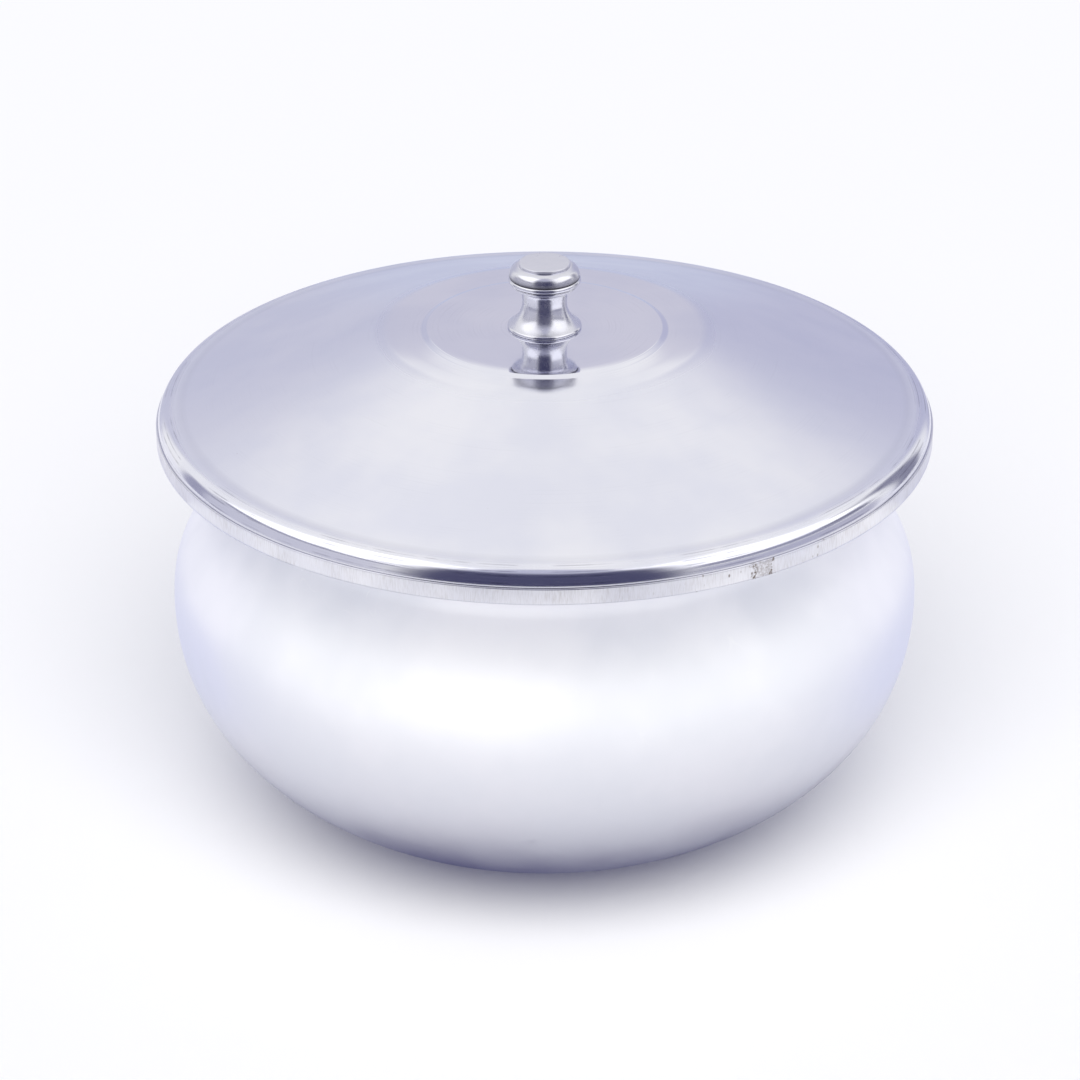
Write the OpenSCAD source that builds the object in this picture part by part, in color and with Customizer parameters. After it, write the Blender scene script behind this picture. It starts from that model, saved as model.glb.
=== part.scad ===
// Lidded serving pot: a spun steel bowl with a rolled lip, and a pressed lid that lifts off by a turned knob.
// Lengths are in millimetres and angles in degrees. The origin is the centre of the flat base and +Z is up.

/* [Bowl] */
// Outer radius at the widest part of the belly
belly_r = 97.8; // [92:0.1:106]
// Height of the widest part above the base
belly_z = 58.3; // [50:0.1:66]
// Radius of the flat base
base_r = 46; // [36:0.5:56]
// Height of the rolled lip's top above the base
bowl_height = 111.8; // [104:0.1:124]
// Height of the neck, from the end of the shoulder to the lip's top
neck_h = 21.8; // [18:0.1:26]
// Outer radius where the shoulder ends and the neck begins
shoulder_r = 82; // [76:0.5:86]
// Lean of the wall towards the axis where the shoulder ends
shoulder_lean = 36.5; // [25:0.5:45]
// Radius of the hollow bend at the neck
neck_bend_r = 5; // [3:0.1:7]
// Rise of the wall above level where it leaves the base
base_rise = 17.5; // [10:0.5:25]
// Reach of the belly's curve downwards, which sets how full the lower belly is
belly_reach = 32; // [24:0.5:40]
// Reach of the belly's curve upwards, matched to the reach downwards so that the side has one curvature
belly_reach_up = 14.7; // [10:0.1:20]
// Reach of the curve that leaves the base
base_reach = 27.5; // [20:0.5:34]
// Reach of the curve that ends the shoulder
shoulder_reach = 17.5; // [12:0.5:20]
// Wall thickness of the bowl
bowl_wall = 1.2; // [0.8:0.1:1.8]

/* [Lid] */
// Outer radius of the rounded rim
lid_r = 100; // [94:0.1:108]
// Height of the centre disc's top above the lower edge of the rounded rim
crown_h = 23.8; // [18:0.1:34]
// Radius of the flat centre disc
disc_r = 30; // [24:0.1:34]
// Radius of both bends of the step at the disc's edge
step_bend_r = 2.2; // [1.8:0.1:3]
// Steepest slope of the step
step_slope = 28; // [15:1:40]
// Outer radius of the nearly flat land below the step
land_r = 40; // [38:0.1:46]
// Slope of the land
land_slope = 1.5; // [0:0.5:6]
// Radius of the bend from the land into the cone
land_bend_r = 15; // [5:0.5:25]
// Radius of the rounded rim
rim_round_r = 4.5; // [4:0.1:6]
// Radius of the shallow groove inside the rounded rim
groove_r = 8; // [3:0.5:12]
// Slope of the rounded rim where it turns down into the groove
groove_slope = 2; // [1:1:20]
// Height of the upright skirt
skirt_h = 4.5; // [3.5:0.1:8]
// How far the skirt stands out from the rounded rim
skirt_step = 0.5; // [0.35:0.05:0.8]
// Rounding of the skirt's upper corner
skirt_edge_r = 0.3; // [0.1:0.05:0.35]
// Sheet thickness of the lid
lid_wall = 0.9; // [0.6:0.1:1.2]

/* [Knob] */
// Radius of the foot
foot_r = 9.5; // [8.5:0.1:11]
// Rounding of the foot's lower corner
foot_edge_r = 0.4; // [0.2:0.05:0.6]
// Radius of the rounding above the foot
foot_round_r = 0.7; // [0.5:0.1:1.5]
// Steepest slope between the foot and the waist
foot_turn = 60; // [50:1:70]
// Radius of the waist
waist_r = 5.7; // [4.8:0.05:6.4]
// Length of the straight neck above the waist
neck_rise = 2; // [0.5:0.05:4]
// Outward lean of the straight neck
neck_lean = 4; // [0:0.5:8]
// Radius of the thin lower ring
collar_r = 8.5; // [8:0.05:8.8]
// Half height of the thin lower ring
collar_bead_r = 0.5; // [0.3:0.05:0.6]
// Radius of the thicker ring under the head, the widest part of the head
ledge_r = 9.35; // [9.1:0.05:9.8]
// Half height of the thicker ring
ledge_bead_r = 0.7; // [0.5:0.05:0.8]
// Height of each groove beside the thicker ring
ring_gap = 0.1; // [0.05:0.05:0.3]
// Radius of the head's rounded side at its widest
head_r = 9.05; // [8.8:0.05:9.8]
// Radius of the head's rounded side
head_round_r = 2.6; // [2.45:0.05:2.9]
// How far the head's rounded side turns in below its widest part
head_under = 10; // [0:1:20]
// Radius of the flat disc on top of the head
cap_r = 6.6; // [6:0.1:7.4]
// Height of the flat disc's edge
cap_h = 0.75; // [0.6:0.05:1]
// Rounding of the top disc's edge
cap_edge_r = 0.3; // [0.1:0.05:0.5]

/* [Fastening] */
// Radius of the screw that holds the knob
screw_r = 1.75; // [1.5:0.05:2.5]
// Length of the screw below its head
screw_length = 12; // [9:0.5:13]
// Chamfer at the screw's tip
screw_chamfer = 0.5; // [0.2:0.1:1]
// Radius of the screw's head
screw_head_r = 3.4; // [2.8:0.05:5]
// Height of the screw's head
screw_head_h = 2.4; // [1.8:0.1:4]
// Rounding of the screw's head
screw_head_round = 1.2; // [0.5:0.1:1.7]
// Length of each arm of the cross recess
recess_length = 2; // [1.5:0.1:2.6]
// Width of the cross recess
recess_width = 0.9; // [0.6:0.1:1.4]
// Depth of the cross recess
recess_depth = 1.4; // [0.8:0.1:2]
// Radius of the flat washer
washer_r = 6; // [4:0.1:10]
// Thickness of the flat washer
washer_t = 0.8; // [0.5:0.1:1.6]
// Radius of the split lock washer
lock_r = 3.3; // [2.8:0.1:5]
// Thickness of the split lock washer
lock_t = 0.9; // [0.6:0.1:1.4]
// Width of the slit in the lock washer
lock_slit = 0.8; // [0.4:0.1:1.2]
// Lean of the slit from upright
lock_slit_lean = 25; // [0:1:35]
// Room left in the knob beyond the screw's tip
bore_spare = 1.6; // [0.5:0.1:2]

/* [Clearances] */
// Gap beside the rolled lip, inside the lid's rim
lip_gap = 0.5; // [0.4:0.05:0.8]
// Gap left over the rolled lip where the lid sits
seat_gap = 0.3; // [0.2:0.05:0.35]
// Gap round the screw in the lid and the washers
hole_gap = 0.15; // [0.1:0.05:0.4]
// Gap round the screw in the knob
thread_gap = 0.05; // [0.03:0.01:0.1]

/* [Hidden] */
$fn = 96;
steel = [0.80, 0.80, 0.84];
zinc = [0.70, 0.71, 0.74];
curve_steps = 16;
// Most that the straight steps of an arc may stand off from it
chord_gap = 0.02;

// The rolled lip nests inside the lid's rounded rim
lip_r = rim_round_r - lid_wall - lip_gap;
lip_c = [lid_r - rim_round_r, bowl_height - lip_r];
lid_z = lip_c[1] - (lip_gap - seat_gap);

// The neck bends out from the shoulder, and a straight flare runs from the bend to the lip
shoulder_p = [shoulder_r, bowl_height - neck_h];
neck_c = shoulder_p + neck_bend_r * polar(shoulder_lean);
flare_normal = tangent_normal(neck_c, neck_bend_r + bowl_wall, lip_c, lip_r);
lip_join = acos(-(lip_r - bowl_wall) / lip_r);

// The belly is two curves that meet upright at the widest part
base_p = [base_r, 0];
belly_p = [belly_r, belly_z];
base_handle = base_p + base_reach * polar(base_rise);
shoulder_handle = shoulder_p - shoulder_reach * polar(90 + shoulder_lean);
lower_belly = [base_p, base_handle, belly_p - [0, belly_reach], belly_p];
upper_belly = [belly_p, belly_p + [0, belly_reach_up], shoulder_handle, shoulder_p];
floor_corner = [base_r - bowl_wall * tan(base_rise / 2), bowl_wall];

// Centres of the lid's bends, with heights above the rim's lower edge
disc_edge_c = [disc_r, crown_h - step_bend_r];
step_foot_c = disc_edge_c + 2 * step_bend_r * polar(90 - step_slope);
land_start = step_foot_c - step_bend_r * polar(90 - land_slope);
land_end = land_start + (land_r - land_start[0]) * [1, -tan(land_slope)];
land_c = land_end - land_bend_r * polar(90 - land_slope);
rim_c = [lid_r - rim_round_r, 0];
groove_c = rim_c + (rim_round_r + groove_r) * polar(90 + groove_slope);
cone_normal = tangent_normal(land_c, land_bend_r, groove_c, -groove_r);
skirt_r = lid_r + skirt_step;
hem_r = (skirt_step + lid_wall) / 2;

// The knob stands on the disc, and the washers and the screw's head hang below it
disc_top = lid_z + crown_h;
washer_top = disc_top - lid_wall;
lock_top = washer_top - washer_t;
screw_seat = lock_top - lock_t;
hole_r = screw_r + hole_gap;
bore_r = screw_r + thread_gap;
bore_depth = screw_length - (disc_top - screw_seat) + bore_spare;
bore_tip_h = bore_r / 2;

// Centres of the knob's bends, each stacked on the one below it
foot_c = [foot_r - foot_round_r, foot_edge_r];
foot_end = foot_c + foot_round_r * polar(foot_turn);
waist_bend_r = (foot_end[0] - waist_r) / (1 - cos(foot_turn));
waist_c = foot_end + waist_bend_r * polar(foot_turn);
neck_end = waist_c - waist_bend_r * polar(-neck_lean) + neck_rise * polar(90 - neck_lean);
cove_r = (collar_r - collar_bead_r - neck_end[0]) / cos(neck_lean);
cove_c = neck_end + cove_r * polar(-neck_lean);
collar_c = [collar_r - collar_bead_r, cove_c[1] + cove_r + collar_bead_r];
ledge_c = [ledge_r - ledge_bead_r, collar_c[1] + collar_bead_r + ring_gap + ledge_bead_r];
head_c = [head_r - head_round_r, ledge_c[1] + ledge_bead_r + ring_gap + head_round_r * sin(head_under)];
head_end = acos((cap_r - head_c[0]) / head_round_r);
knob_h = head_c[1] + head_round_r * sin(head_end) + cap_h;

// Unit vector at an angle
function polar(angle) = [cos(angle), sin(angle)];

// Points along an arc; a negative radius is a hollow bend, whose centre lies outside the material
function arc(centre, radius, from, to) =
    let (turn = 2 * acos(1 - chord_gap / abs(radius)), steps = max(2, ceil(abs(to - from) / turn)))
    [for (i = [0:steps]) centre + radius * polar(from + (to - from) * i / steps)];

// Angle of the normal, on the left of the way, of the straight line that touches two bends
function tangent_normal(from, from_r, to, to_r) =
    let (way = to - from)
    atan2(way[1], way[0]) + acos((from_r - to_r) / norm(way));

// Point and direction on a cubic curve with four control points
function cubic(p, t) =
    pow(1 - t, 3) * p[0] + 3 * t * pow(1 - t, 2) * p[1] + 3 * t * t * (1 - t) * p[2] + pow(t, 3) * p[3];
function cubic_way(p, t) =
    pow(1 - t, 2) * (p[1] - p[0]) + 2 * t * (1 - t) * (p[2] - p[1]) + t * t * (p[3] - p[2]);

// Points along a cubic curve, moved to its left by a distance
function curve(p, distance, first) =
    [for (i = [first:curve_steps])
        let (t = i / curve_steps, way = cubic_way(p, t))
        cubic(p, t) + distance * [-way[1], way[0]] / norm(way)];

function backwards(list) = [for (i = [len(list) - 1:-1:0]) list[i]];

// The sheet of the lid from the disc's edge to the rim, at a depth below its upper face
function lid_sheet(depth) = concat(
    arc(disc_edge_c, step_bend_r - depth, 90, 90 - step_slope),
    arc(step_foot_c, -step_bend_r - depth, 90 - step_slope, 90 - land_slope),
    arc(land_c, land_bend_r - depth, 90 - land_slope, cone_normal),
    arc(groove_c, -groove_r - depth, cone_normal, 90 + groove_slope),
    arc(rim_c, rim_round_r - depth, 90 + groove_slope, 0)
);

// The bowl, up its outside, round the lip and down its inside
function bowl_outline() = concat(
    [[0, 0]],
    curve(lower_belly, 0, 0),
    curve(upper_belly, 0, 1),
    arc(neck_c, neck_bend_r, shoulder_lean + 180, flare_normal),
    arc(lip_c, lip_r, flare_normal - 180 - lip_join, flare_normal),
    arc(neck_c, neck_bend_r + bowl_wall, flare_normal, shoulder_lean + 180),
    backwards(curve(upper_belly, bowl_wall, 0)),
    backwards(curve(lower_belly, bowl_wall, 1)),
    [floor_corner, [0, bowl_wall]]
);

// The lid, out along its top, down the skirt and back along its underside
function lid_outline() = concat(
    [[hole_r, crown_h]],
    lid_sheet(0),
    arc([skirt_r - skirt_edge_r, -skirt_edge_r], skirt_edge_r, 90, 0),
    arc([skirt_r - hem_r, hem_r - skirt_h], hem_r, 0, -180),
    backwards(lid_sheet(lid_wall)),
    [[hole_r, crown_h - lid_wall]]
);

// The knob, from its foot up its outside and down through its blind bore
function knob_outline() = concat(
    [[bore_r, 0]],
    arc([foot_r - foot_edge_r, foot_edge_r], foot_edge_r, -90, 0),
    arc(foot_c, foot_round_r, 0, foot_turn),
    arc(waist_c, -waist_bend_r, foot_turn, -neck_lean),
    arc(cove_c, -cove_r, -neck_lean, -90),
    arc(collar_c, collar_bead_r, -90, 90),
    arc(ledge_c, ledge_bead_r, -90, 90),
    arc(head_c, head_round_r, -head_under, head_end),
    arc([cap_r - cap_edge_r, knob_h - cap_edge_r], cap_edge_r, 0, 90),
    [[0, knob_h], [0, bore_depth + bore_tip_h], [bore_r, bore_depth]]
);

// The screw, from its tip down to the crown of its head
function screw_outline() = concat(
    [[0, screw_length], [0, -screw_head_h]],
    arc([screw_head_r - screw_head_round, screw_head_round - screw_head_h], screw_head_round, -90, 0),
    [[screw_head_r, 0], [screw_r, 0], [screw_r, screw_length - screw_chamfer],
        [screw_r - screw_chamfer, screw_length]]
);

module bowl() {
    color(steel)
        rotate_extrude()
            polygon(bowl_outline());
}

module lid_shell() {
    color(steel)
        translate([0, 0, lid_z])
            rotate_extrude()
                polygon(lid_outline());
}

module knob() {
    color(steel)
        translate([0, 0, disc_top])
            rotate_extrude()
                polygon(knob_outline());
}

module knob_screw() {
    color(zinc)
        translate([0, 0, screw_seat])
            difference() {
                rotate_extrude()
                    polygon(screw_outline());
                for (turn = [0, 90])
                    rotate([0, 0, turn])
                        translate([-recess_length, -recess_width / 2, -screw_head_h - recess_depth])
                            cube([2 * recess_length, recess_width, 2 * recess_depth]);
            }
}

// Flat ring whose top face lies at a height
module ring(top, radius, thickness) {
    translate([0, 0, top - thickness])
        difference() {
            cylinder(h = thickness, r = radius);
            translate([0, 0, -thickness])
                cylinder(h = 3 * thickness, r = hole_r);
        }
}

module flat_washer() {
    color(zinc)
        ring(washer_top, washer_r, washer_t);
}

module lock_washer() {
    color(zinc)
        difference() {
            ring(lock_top, lock_r, lock_t);
            translate([0, 0, lock_top - lock_t / 2])
                rotate([lock_slit_lean, 0, 0])
                    translate([0, -lock_slit / 2, -lock_r])
                        cube([2 * lock_r, lock_slit, 2 * lock_r]);
        }
}

bowl();
lid_shell();
knob();
knob_screw();
flat_washer();
lock_washer();
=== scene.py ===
"""Looks of a lidded serving pot: a spun bowl, a pressed lid and a turned knob, on a white studio floor."""

import math

import bpy
import numpy as np
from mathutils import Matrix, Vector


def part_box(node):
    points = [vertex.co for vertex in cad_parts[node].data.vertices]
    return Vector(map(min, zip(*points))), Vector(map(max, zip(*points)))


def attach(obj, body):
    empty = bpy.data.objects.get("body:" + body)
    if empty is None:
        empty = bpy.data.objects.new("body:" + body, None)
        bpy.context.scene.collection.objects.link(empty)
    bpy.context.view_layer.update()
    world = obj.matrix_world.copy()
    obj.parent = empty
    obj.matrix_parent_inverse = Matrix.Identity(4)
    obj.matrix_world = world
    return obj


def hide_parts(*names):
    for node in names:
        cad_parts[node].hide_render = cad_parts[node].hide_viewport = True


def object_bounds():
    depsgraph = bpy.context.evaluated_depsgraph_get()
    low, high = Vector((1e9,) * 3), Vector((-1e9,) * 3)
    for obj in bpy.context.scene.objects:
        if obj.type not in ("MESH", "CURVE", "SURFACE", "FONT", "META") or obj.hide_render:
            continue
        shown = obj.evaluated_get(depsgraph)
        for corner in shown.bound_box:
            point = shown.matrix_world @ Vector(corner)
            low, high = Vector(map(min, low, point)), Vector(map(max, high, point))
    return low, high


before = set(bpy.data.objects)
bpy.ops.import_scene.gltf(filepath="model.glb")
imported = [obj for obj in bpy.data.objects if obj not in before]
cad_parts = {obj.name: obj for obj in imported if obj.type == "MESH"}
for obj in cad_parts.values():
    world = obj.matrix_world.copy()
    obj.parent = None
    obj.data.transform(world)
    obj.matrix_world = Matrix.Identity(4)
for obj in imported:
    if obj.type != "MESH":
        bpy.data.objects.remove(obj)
CAD_BOX = [list(corner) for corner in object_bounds()]

bl_info = {
    "name": "Serving Pot",
    "version": (1, 0, 0),
    "blender": (4, 5, 0),
    "location": "3D View > Sidebar > Serving Pot",
    "description": "Dresses a packed serving pot with turned surfaces, steel finishes and a studio stage",
    "category": "Add Mesh",
}

MM = 0.001

# The solids' own boxes give the places that the turned surfaces keep to
BOWL_LOW, BOWL_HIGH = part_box("bowl")
LID_LOW, LID_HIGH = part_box("lid_shell")
KNOB_LOW, KNOB_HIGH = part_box("knob")

# Share of the bowl's flank, from the base up to the belly, over which the buffing sets in
FLANK_BUFFED = 0.4

# Where between the belly and the neck the bowl starts to lose its polish
NECK_DULL = 0.6

# Share of the rounded rim, from the groove outwards, over which the buffing gives way to the polish
RIM_BUFFED = 0.4

# How dark the painted shade in the groove is, and where along the rounded rim its line of painted shade
# in the crease above the skirt lies
GROOVE_SHADE = 0.15
RIM_CREASE_SHADE = (0.88, 1)

# How clearly lines of polishing show on the disc, the cone, the rounded rim and the underside
DISC_LINES = 0.1
CONE_LINES = 0.05
RIM_LINES = 0.8
UNDER_LINES = 1.0

# Power by which the painted shade falls off on the way out of the knob's grooves
SHADE_FALL = 6

# Fineness of the turned surfaces
SEGMENTS = 256
ARC_STEP = math.radians(5)
FEWEST_ARC_STEPS = 4
CURVE_STEPS = 48
LONGEST_STEP = 4 * MM
FEWEST_LINE_STEPS = 2
SHARP_TURN = math.radians(40)


def length(name, description, millimetres):
    """A size property, kept in metres and given in millimetres."""
    kind = {"subtype": "DISTANCE", "unit": "LENGTH", "precision": 4}
    return bpy.props.FloatProperty(name=name, description=description, default=millimetres * MM, **kind)


def angle(name, description, degrees):
    """An angle property, given in degrees."""
    kind = {"subtype": "ANGLE", "unit": "ROTATION"}
    return bpy.props.FloatProperty(name=name, description=description, default=math.radians(degrees), **kind)


def share(name, description, value):
    """A plain number from 0 to 1, such as a roughness."""
    kind = {"subtype": "FACTOR", "min": 0, "max": 1}
    return bpy.props.FloatProperty(name=name, description=description, default=value, **kind)


def linear(hex_colour):
    """Linear colour of an sRGB hex value."""
    srgb = np.array([int(hex_colour[i : i + 2], 16) for i in (1, 3, 5)]) / 255
    rgb = np.where(srgb <= 0.04045, srgb / 12.92, ((srgb + 0.055) / 1.055) ** 2.4)
    return (*(float(value) for value in rgb), 1.0)


def colour(name, description, hex_colour):
    """A colour property, given as an sRGB hex value."""
    rgba = linear(hex_colour)
    kind = {"subtype": "COLOR", "size": len(rgba), "min": 0, "max": 1}
    return bpy.props.FloatVectorProperty(name=name, description=description, default=rgba, **kind)


class BowlSettings(bpy.types.PropertyGroup):
    """Sizes and finish of the spun bowl"""

    belly_r: length("Belly radius", "Outer radius at the widest part", 97.8)
    belly_z: length("Belly height", "Height of the widest part above the base", 58.3)
    base_r: length("Base radius", "Radius of the flat base", 46)
    shoulder_r: length("Shoulder radius", "Outer radius where the shoulder ends and the neck begins", 82)
    neck_h: length("Neck height", "Height from the end of the shoulder to the lip's top", 21.8)
    shoulder_lean: angle("Shoulder lean", "Lean of the wall towards the axis where the shoulder ends", 36.5)
    neck_bend_r: length("Neck bend", "Radius of the hollow bend at the neck", 5)
    base_rise: angle("Base rise", "Rise of the wall where it leaves the base", 17.5)
    belly_reach: length("Belly reach", "Reach of the belly's curve downwards", 32)
    belly_reach_up: length("Belly reach up", "Reach of the belly's curve upwards", 14.7)
    base_reach: length("Base reach", "Reach of the curve that leaves the base", 27.5)
    shoulder_reach: length("Shoulder reach", "Reach of the curve that ends the shoulder", 17.5)
    lip_r: length("Lip radius", "Radius of the rolled lip", 3.1)
    wall: length("Wall", "Thickness of the sheet", 1.2)
    steel: colour("Steel", "Colour of the buffed sheet", "#F8F8FC")
    dull: colour("Dull steel", "Colour where the buffing left a haze", "#F0F1F6")
    pit: colour("Pits", "Colour of the small pits and specks", "#C6C5CB")
    outside: share("Outside roughness", "Roughness of the buffed outside", 0.55)
    foot: share("Foot roughness", "Roughness of the outside at the base, which is polished more", 0.4)
    neck: share("Neck roughness", "Roughness of the neck, which the wheel does not reach", 0.8)
    inside: share("Inside roughness", "Roughness of the inside, left as spun", 0.34)
    lip: share("Lip roughness", "Roughness of the rolled lip", 0.22)


class LidSettings(bpy.types.PropertyGroup):
    """Sizes and finish of the pressed lid"""

    hole_r: length("Hole radius", "Radius of the hole for the knob's screw", 1.9)
    disc_r: length("Disc radius", "Radius of the flat centre disc", 30)
    step_bend_r: length("Step bend", "Radius of both bends of the step at the disc's edge", 2.2)
    step_slope: angle("Step slope", "Steepest slope of the step", 28)
    land_r: length("Land radius", "Outer radius of the nearly flat land below the step", 40)
    land_slope: angle("Land slope", "Slope of the land", 1.5)
    land_bend_r: length("Land bend", "Radius of the bend from the land into the cone", 15)
    rim_round_r: length("Rim round", "Radius of the rounded rim", 4.5)
    groove_r: length("Groove", "Radius of the shallow groove inside the rounded rim", 8)
    groove_slope: angle("Groove slope", "Slope of the rounded rim where it meets the groove", 2)
    skirt_h: length("Skirt height", "Height of the upright skirt", 4.5)
    skirt_step: length("Skirt step", "How far the skirt stands out from the rounded rim", 0.5)
    skirt_edge_r: length("Skirt edge", "Rounding of the skirt's upper corner", 0.3)
    wall: length("Wall", "Thickness of the sheet", 0.9)
    steel: colour("Steel", "Colour of the polished sheet", "#EAEAF1")
    dull: colour("Dull steel", "Colour where the polish is hazy", "#E0E1EC")
    stain: colour("Stain", "Colour of the old stain on the skirt", "#7C6E62")
    pit: colour("Pits", "Colour of the small pits", "#BDB9C0")
    marks: colour("Drawing marks", "Colour of the upright marks on the skirt", "#9A938F")
    # Colour of the painted shade in the groove and in the crease above the skirt; the polishing lines on the
    # rim take it too
    recess_shade: colour("Grime", "Colour of the old dirt in the groove", "#8C8C9C")
    mirror: share("Mirror roughness", "Roughness of the polished disc", 0.07)
    rim: share("Rim roughness", "Roughness of the rounded rim", 0.14)
    land: share("Land roughness", "Roughness of the land round the disc", 0.10)
    cone: share("Cone roughness", "Roughness of the buffed cone", 0.325)
    skirt: share("Skirt roughness", "Roughness of the drawn skirt", 0.36)
    inside: share("Inside roughness", "Roughness of the underside", 0.34)


class KnobSettings(bpy.types.PropertyGroup):
    """Sizes and finish of the turned knob and its fastening"""

    foot_r: length("Foot radius", "Radius of the foot", 9.5)
    foot_edge_r: length("Foot edge", "Rounding of the foot's lower corner", 0.4)
    foot_round_r: length("Foot round", "Radius of the rounding above the foot", 0.7)
    foot_turn: angle("Foot turn", "Steepest slope between the foot and the waist", 60)
    waist_r: length("Waist radius", "Radius of the waist", 5.7)
    neck_rise: length("Neck rise", "Length of the straight neck above the waist", 2)
    neck_lean: angle("Neck lean", "Outward lean of the straight neck", 4)
    collar_r: length("Collar radius", "Radius of the thin lower ring", 8.5)
    collar_bead_r: length("Collar bead", "Half height of the thin lower ring", 0.5)
    ledge_r: length("Ledge radius", "Radius of the thicker ring under the head", 9.35)
    ledge_bead_r: length("Ledge bead", "Half height of the thicker ring", 0.7)
    ring_gap: length("Ring gap", "Height of each groove beside the thicker ring", 0.1)
    head_r: length("Head radius", "Radius of the head's rounded side at its widest", 9.05)
    head_round_r: length("Head round", "Radius of the head's rounded side", 2.6)
    head_under: angle("Head under", "How far the head's side turns in below its widest part", 10)
    cap_r: length("Cap radius", "Radius of the flat disc on top", 6.6)
    cap_edge_r: length("Cap edge", "Rounding of the top disc's edge", 0.3)
    bore_r: length("Bore radius", "Radius of the blind bore for the screw", 1.8)
    bore_depth: length("Bore depth", "Depth of the blind bore", 11)
    chrome: colour("Knob steel", "Colour of the polished knob", "#DADAE2")
    # Colour of the painted shade in the knob's grooves, at the foot's lower edge and in the bore
    recess_shade: colour("Grime", "Colour of the old dirt in the knob's grooves", "#5B5963")
    zinc: colour("Zinc", "Colour of the plated screw and washers", "#D2D4D8")
    polish: share("Knob roughness", "Roughness of the polished knob", 0.18)
    hollow: share("Waist roughness", "Roughness of the waist, which the wheel reaches less", 0.235)
    worn: share("Cap roughness", "Roughness of the cap, which is worn by hands", 0.34)
    plating: share("Plating roughness", "Roughness of the zinc plating", 0.3)


class StageSettings(bpy.types.PropertyGroup):
    """Floor, light and camera of the studio"""

    floor: colour("Floor", "Colour of the paper floor", "#FCFCFC")
    fill: colour("Fill light", "Colour of the room's light on matt surfaces", "#B2B4BF")
    key: colour("Key light", "Colour of the large lamp above the camera", "#FFFDF9")
    key_level: share("Key level", "Brightness that the large lamp gives white paper", 0.55)
    key_spread: angle("Key spread", "Width of the large lamp, seen from the pot", 60)
    key_elevation: angle("Key elevation", "Height of the large lamp above level, seen from the pot", 48)
    elevation: angle("Camera elevation", "Camera's height above level, seen from the lid", 24.9)
    distance: length("Camera distance", "Distance from the camera to the lid's axis", 1000)


class PotSettings(bpy.types.PropertyGroup):
    """All settings of the serving pot"""

    bowl: bpy.props.PointerProperty(type=BowlSettings, name="Bowl", description="The spun bowl")
    lid: bpy.props.PointerProperty(type=LidSettings, name="Lid", description="The pressed lid")
    knob: bpy.props.PointerProperty(type=KnobSettings, name="Knob", description="The knob and its screw")
    stage: bpy.props.PointerProperty(type=StageSettings, name="Stage", description="Floor, light and camera")


# Turned surfaces


def polar(turn):
    """Unit vector at an angle."""
    return np.array([math.cos(turn), math.sin(turn)])


def arc(centre, radius, start, end):
    """Points centre + radius * (cos a, sin a), with a even from start to end.

    A negative radius gives a hollow bend.
    """
    count = max(FEWEST_ARC_STEPS, math.ceil(abs(end - start) / ARC_STEP))
    turn = np.linspace(start, end, count + 1)
    return np.asarray(centre) + radius * np.stack([np.cos(turn), np.sin(turn)], axis=1)


def line(start, end):
    """Points start + t * (end - start), with t even between 0 and 1, and without the two ends."""
    start, end = np.asarray(start), np.asarray(end)
    count = max(FEWEST_LINE_STEPS, math.ceil(np.linalg.norm(end - start) / LONGEST_STEP))
    return start + np.linspace(0, 1, count + 1)[1:-1, None] * (end - start)


def curve(points, offset):
    """Cubic curve (1-t)^3 A + 3t(1-t)^2 B + 3t^2(1-t) C + t^3 D, moved to its left by an offset."""
    a, b, c, d = (np.asarray(point) for point in points)
    t = np.linspace(0, 1, CURVE_STEPS + 1)[:, None]
    place = (1 - t) ** 3 * a + 3 * t * (1 - t) ** 2 * b + 3 * t**2 * (1 - t) * c + t**3 * d
    way = (1 - t) ** 2 * (b - a) + 2 * t * (1 - t) * (c - b) + t**2 * (d - c)
    left = np.stack([-way[:, 1], way[:, 0]], axis=1)
    return place + offset * left / np.linalg.norm(left, axis=1, keepdims=True)


def smooth(value, start, end):
    """Smooth step 3 s^2 - 2 s^3, where s goes from 0 at start to 1 at end."""
    s = np.clip((value - start) / (end - start), 0, 1)
    return s * s * (3 - 2 * s)


def tangent_normal(start, start_r, end, end_r):
    """Angle of the normal, on the left of the way, of the straight line that touches two bends."""
    way = np.asarray(end) - np.asarray(start)
    return math.atan2(way[1], way[0]) + math.acos((start_r - end_r) / np.linalg.norm(way))


def grid_quads(index):
    """Corners of the faces between the points of a grid, which are given by their numbers."""
    corners = [index[:-1, :-1], index[:-1, 1:], index[1:, 1:], index[1:, :-1]]
    return np.stack(corners, axis=-1).reshape(-1, 4).tolist()


def mesh_object(name, points, faces, finish, material):
    """An object in the scene with the given mesh, which keeps the finish of its points as attributes."""
    mesh = bpy.data.meshes.new(name)
    mesh.from_pydata(points, [], faces)
    for key, values in finish.items():
        kept = mesh.attributes.new(key, "FLOAT", "POINT")
        kept.data.foreach_set("value", values.astype(np.float32))
    mesh.materials.append(material)
    made = bpy.data.objects.new(name, mesh)
    bpy.context.scene.collection.objects.link(made)
    return made


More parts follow.
